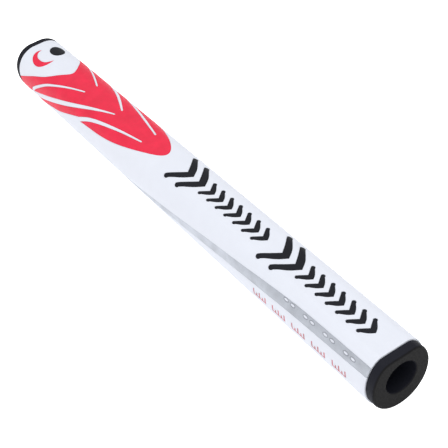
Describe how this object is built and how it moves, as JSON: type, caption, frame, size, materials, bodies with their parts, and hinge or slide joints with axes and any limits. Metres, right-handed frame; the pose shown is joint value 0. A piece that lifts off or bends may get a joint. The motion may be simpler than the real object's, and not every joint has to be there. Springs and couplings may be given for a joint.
{
  "type": "golf putter grip",
  "caption": "Thick putter grip: foam core with a shaft bore, rubber end caps, and a printed white wrap with a red leaf panel and dark chevrons.",
  "frame": {"origin": "the middle of the underside: half-way along the grip, on its centre plane, level with the lowest point of its rounded back", "axes": "+X along the bore axis from the butt to the mouth, +Z out of the flat front, +Y completes a right-handed frame"},
  "size_m": [0.267, 0.0288, 0.0276],
  "materials": {
    "core_foam": "closed-cell foam, matte",
    "cap_rubber": "black moulded rubber, satin",
    "wrap_white": "white polyurethane with a fine pebble grain",
    "backing_felt": "non-woven felt",
    "red_print": "red ink, satin",
    "dark_print": "near-black ink, satin",
    "silver_print": "silver-grey ink, satin"
  },
  "bodies": {
    "root": {"butt_cap": "cap_rubber", "core_tube": "core_foam", "emblem_crescent": "red_print", "emblem_dot": "dark_print", "front_chevron_1_short_1": "dark_print", "front_chevron_1_short_2": "dark_print", "front_chevron_1_short_3": "dark_print", "front_chevron_1_short_4": "dark_print", "front_chevron_1_short_5": "dark_print", "front_chevron_1_short_6": "dark_print", "front_chevron_1_short_7": "dark_print", "front_chevron_1_tall_1": "dark_print", "front_chevron_1_tall_2": "dark_print", "front_chevron_2_short_1": "dark_print", "front_chevron_2_short_2": "dark_print", "front_chevron_2_short_3": "dark_print", "front_chevron_2_short_4": "dark_print", "front_chevron_2_short_5": "dark_print", "front_chevron_2_short_6": "dark_print", "front_chevron_2_short_7": "dark_print", "front_chevron_2_tall_1": "dark_print", "front_chevron_2_tall_2": "dark_print", "mouth_cap": "cap_rubber", "red_panel": "red_print", "seam_bead": "wrap_white", "side_scale_left_1": "red_print", "side_scale_left_2": "red_print", "side_scale_left_3": "red_print", "side_scale_left_4": "red_print", "side_scale_left_5": "red_print", "side_scale_right_1": "red_print", "side_scale_right_2": "red_print", "side_scale_right_3": "red_print", "side_scale_right_4": "red_print", "side_scale_right_5": "red_print", "silver_band_left": "silver_print", "silver_band_right": "silver_print", "wrap_backing": "backing_felt", "wrap_skin": "wrap_white"}
  },
  "joints": []
}
